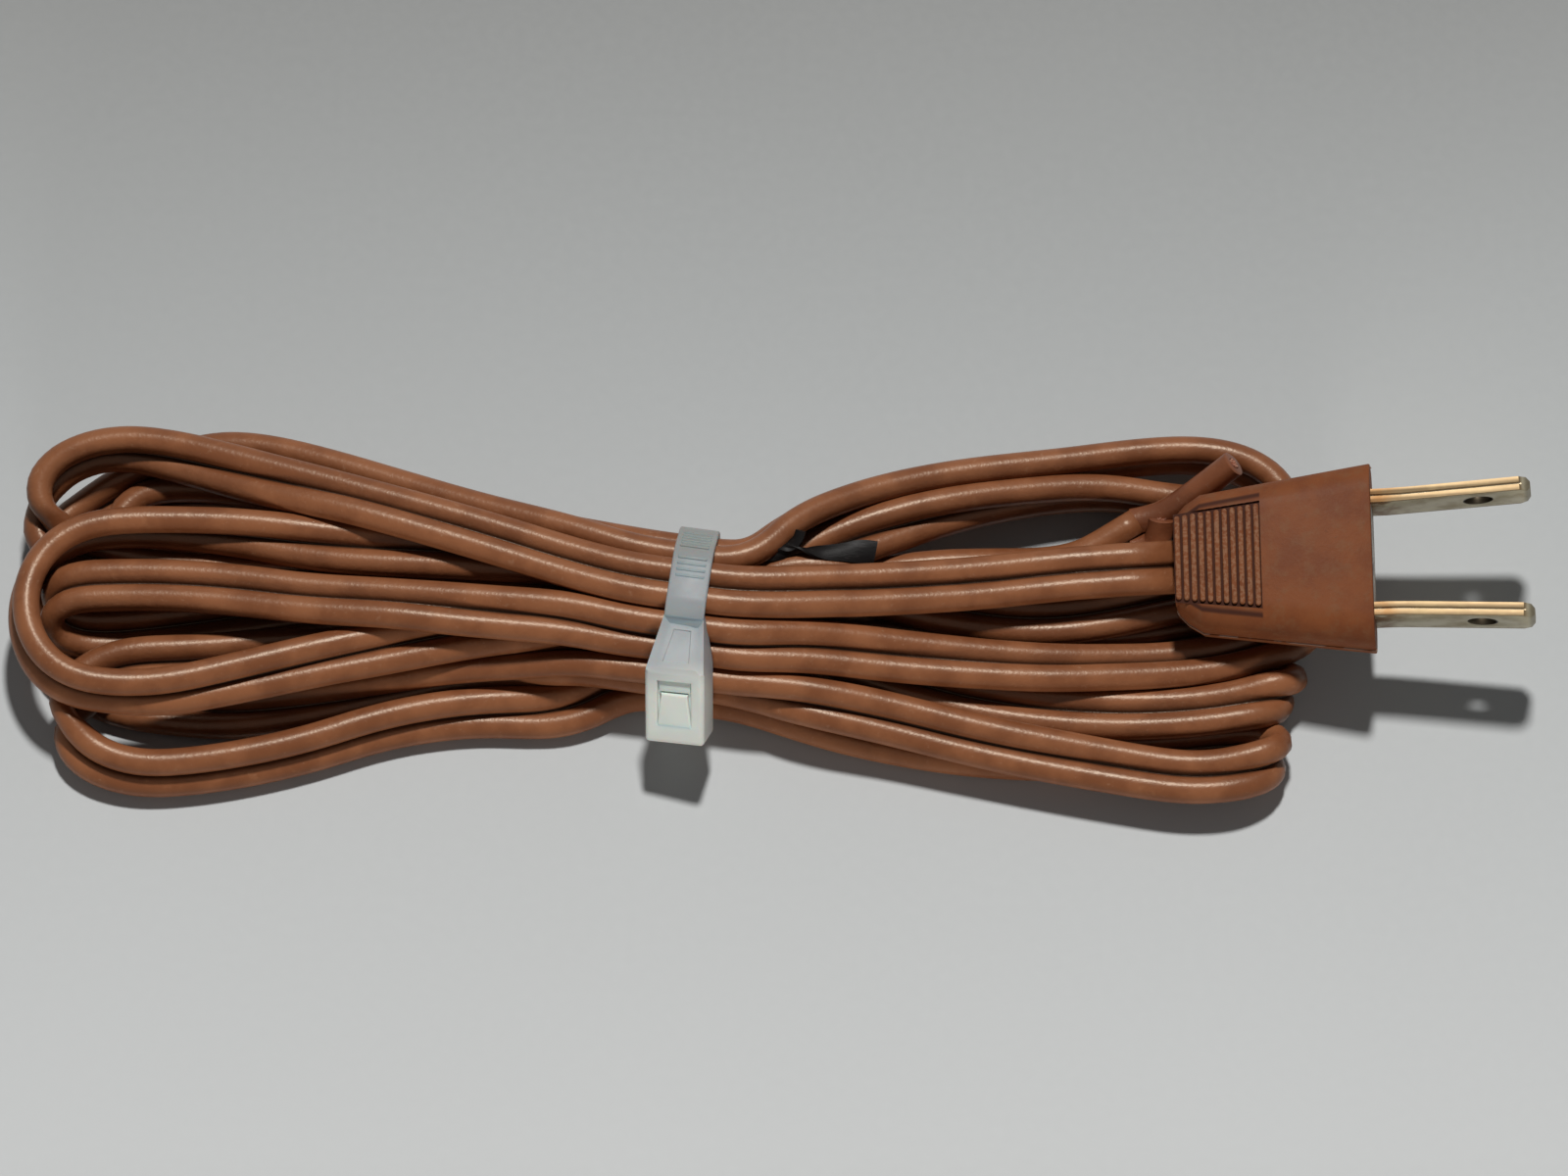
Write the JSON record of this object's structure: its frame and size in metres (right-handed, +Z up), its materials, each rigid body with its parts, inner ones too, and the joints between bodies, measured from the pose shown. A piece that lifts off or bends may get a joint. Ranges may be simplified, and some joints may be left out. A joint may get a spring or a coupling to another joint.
{
  "type": "power cord",
  "caption": "Brown two-core power cord with a moulded flat two-pin plug, wound in a flat hank and tied at its waist.",
  "frame": {"origin": "bottom centre of the whole lead's box, on the plane that the hank lies on", "axes": "+X along the hank towards the plug's blades, +Z up out of the plane that the hank lies on"},
  "size_m": [0.1686, 0.0432, 0.0191],
  "materials": {
    "plug_pvc": "satin moulded brown PVC",
    "blade_brass": "worn brass, dull on its flats",
    "insert_plastic": "matte pale moulded insert",
    "core_pvc": "satin brown core insulation",
    "cord_pvc": "satin orange-brown PVC",
    "copper": "bare copper strands",
    "tie_nylon": "milky natural nylon",
    "twist_plastic": "black covered wire"
  },
  "bodies": {
    "root": {"plug_body": "plug_pvc", "blade_front": "blade_brass", "blade_back": "blade_brass", "blade_bridge": "insert_plastic", "inner_core_front": "core_pvc", "inner_core_back": "core_pvc", "conductor_front": "copper", "conductor_back": "copper", "lead_cord": "cord_pvc", "cord_hank": "cord_pvc", "tail_core_long": "core_pvc", "tail_core_short": "core_pvc", "tail_strands_long": "copper", "tail_strands_short": "copper", "cable_tie": "tie_nylon", "twist_tie": "twist_plastic"}
  },
  "joints": []
}
